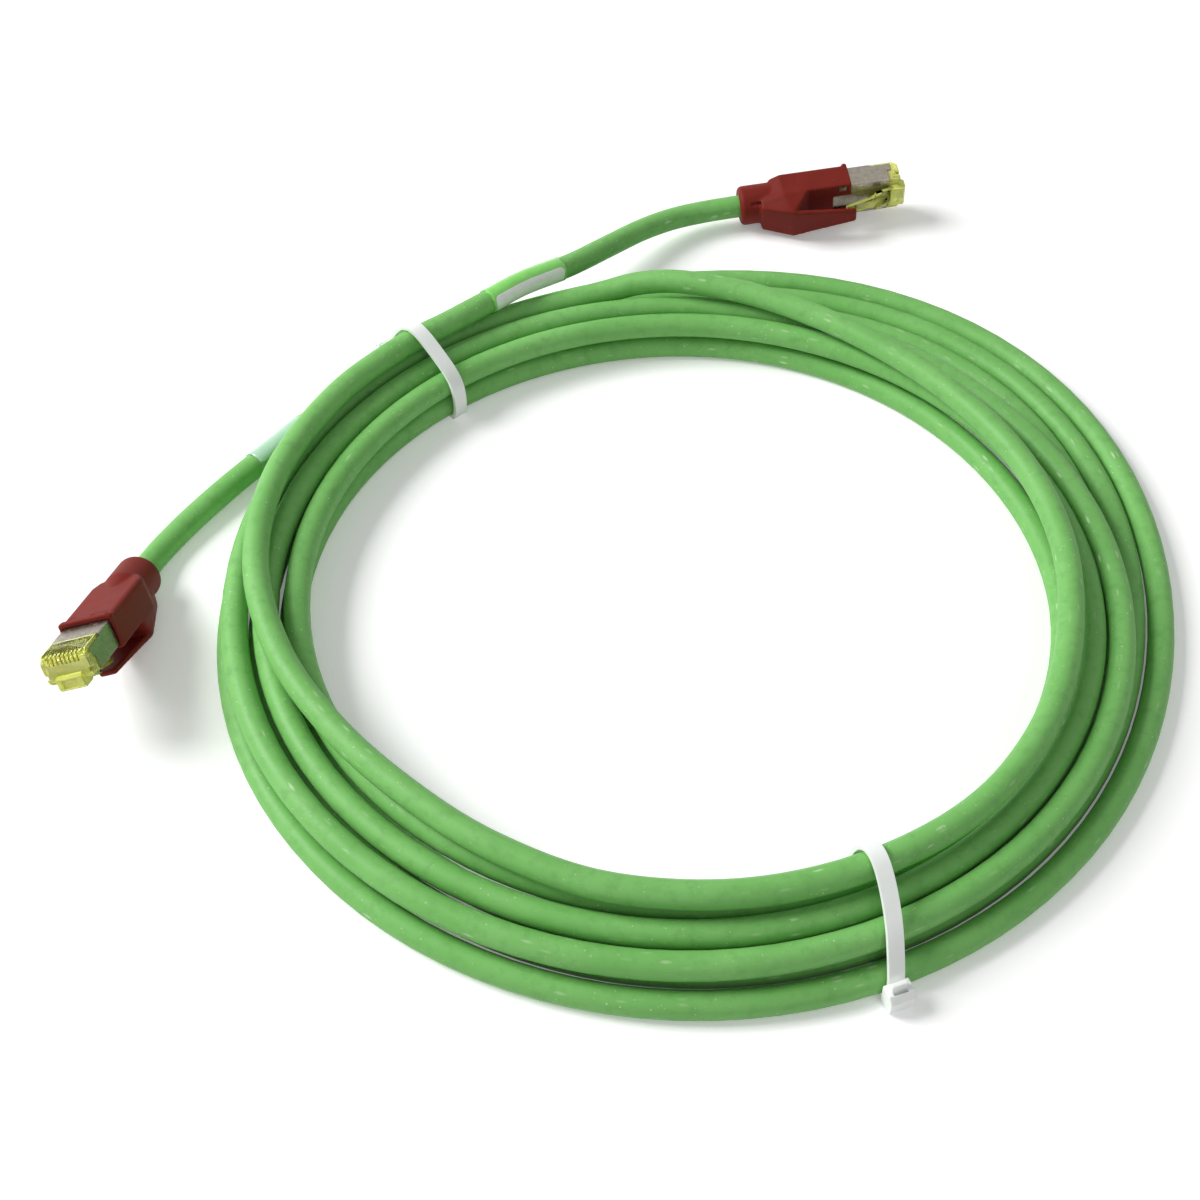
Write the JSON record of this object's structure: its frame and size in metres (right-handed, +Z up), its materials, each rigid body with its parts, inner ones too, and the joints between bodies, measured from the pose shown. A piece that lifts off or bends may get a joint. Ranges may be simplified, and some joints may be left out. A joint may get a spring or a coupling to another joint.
{
  "type": "ethernet patch cable",
  "caption": "Green shielded network patch cable, wound in a tied coil with wrap labels, with a booted, latching shielded modular plug at each end.",
  "frame": {"origin": "centre of the bounding box's underside, on the surface that the coil lies on", "axes": "+Z up from the surface; +X to the right and +Y to the rear as the coil is seen from its front, with plug A at the left front and plug B at the rear"},
  "size_m": [0.2574, 0.2602, 0.0274],
  "materials": {
    "jacket": "soft satin PVC jacket, lightly scuffed",
    "label_film": "pale wrapped film label, bare",
    "label_paper": "white wrapped label, bare",
    "tie_nylon": "natural translucent nylon",
    "boot": "moulded soft satin strain-relief boot",
    "plug_plastic": "clear moulded plug tinted yellow-green",
    "shield": "bright nickel-plated sheet",
    "contact": "gold-plated contact blades",
    "bar_plastic": "clear load bar",
    "clamp": "crimped shield clamp",
    "braid": "tinned copper braid, folded back",
    "foil": "foil round the pairs",
    "wire_orange": "insulated pair",
    "wire_green": "insulated pair",
    "wire_blue": "insulated pair",
    "wire_brown": "insulated pair"
  },
  "bodies": {
    "root": {"cord_coil": "jacket", "cord_tail_a": "jacket", "cord_tail_b": "jacket", "label_a": "label_film", "label_b": "label_paper", "tie_rear": "tie_nylon", "tie_front": "tie_nylon", "boot_a": "boot", "housing_a": "plug_plastic", "shield_a": "shield", "contacts_a": "contact", "load_bar_a": "bar_plastic", "clamp_a": "clamp", "braid_a": "braid", "foil_a": "foil", "pair_orange_a": "wire_orange", "pair_green_a": "wire_green", "pair_blue_a": "wire_blue", "pair_brown_a": "wire_brown", "boot_b": "boot", "housing_b": "plug_plastic", "shield_b": "shield", "contacts_b": "contact", "load_bar_b": "bar_plastic", "clamp_b": "clamp", "braid_b": "braid", "foil_b": "foil", "pair_orange_b": "wire_orange", "pair_green_b": "wire_green", "pair_blue_b": "wire_blue", "pair_brown_b": "wire_brown"},
    "latch_a": {"latch_a": "plug_plastic"},
    "latch_b": {"latch_b": "plug_plastic"}
  },
  "joints": [
    {"name": "latch_a_press", "type": "hinge", "parent": "root", "child": "latch_a", "pos_m": [-0.12055, -0.05672, 0.01789], "axis": [0.9436, -0.0024, 0.3311], "range_deg": [0, 11], "stiffness_Nm_per_rad": 0.3},
    {"name": "latch_b_press", "type": "hinge", "parent": "root", "child": "latch_b", "pos_m": [0.07459, 0.12168, 0.00908], "axis": [0.0624, 0.1305, -0.9895], "range_deg": [0, 11], "stiffness_Nm_per_rad": 0.3}
  ]
}
